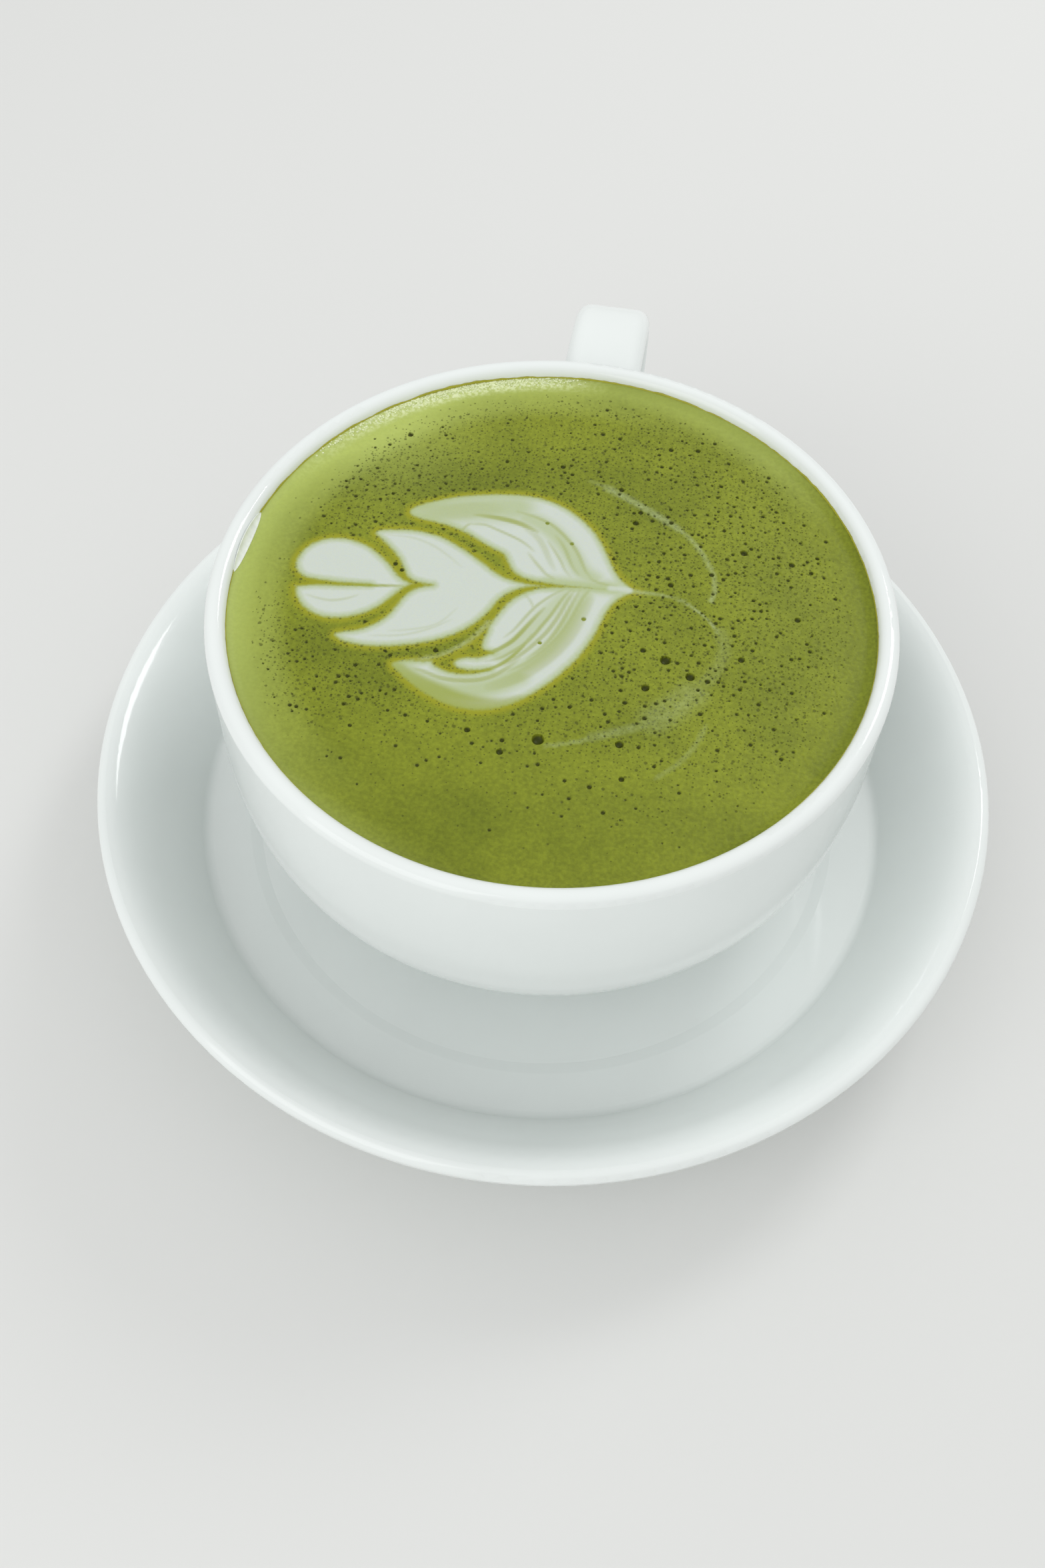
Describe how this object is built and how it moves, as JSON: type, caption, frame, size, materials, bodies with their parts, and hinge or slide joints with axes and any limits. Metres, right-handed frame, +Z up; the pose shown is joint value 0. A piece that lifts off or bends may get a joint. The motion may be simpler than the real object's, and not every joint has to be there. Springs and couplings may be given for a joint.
{
  "type": "matcha latte in a cup on a saucer",
  "caption": "Matcha latte with a stacked-heart foam pattern, in a round white porcelain cup with a strap handle, on its matching saucer.",
  "frame": {"origin": "on the table, at the middle of the overall box's bottom, which is the centre of the saucer's foot ring and the axis of the cup", "axes": "+Z up along the axis of the cup and saucer, +Y towards the handle, +X to the right when the handle points away"},
  "size_m": [0.158, 0.158, 0.0665],
  "materials": {
    "porcelain": "gloss",
    "matcha_foam": "satin"
  },
  "bodies": {
    "root": {"saucer": "porcelain", "cup": "porcelain", "matcha_latte": "matcha_foam"}
  },
  "joints": []
}
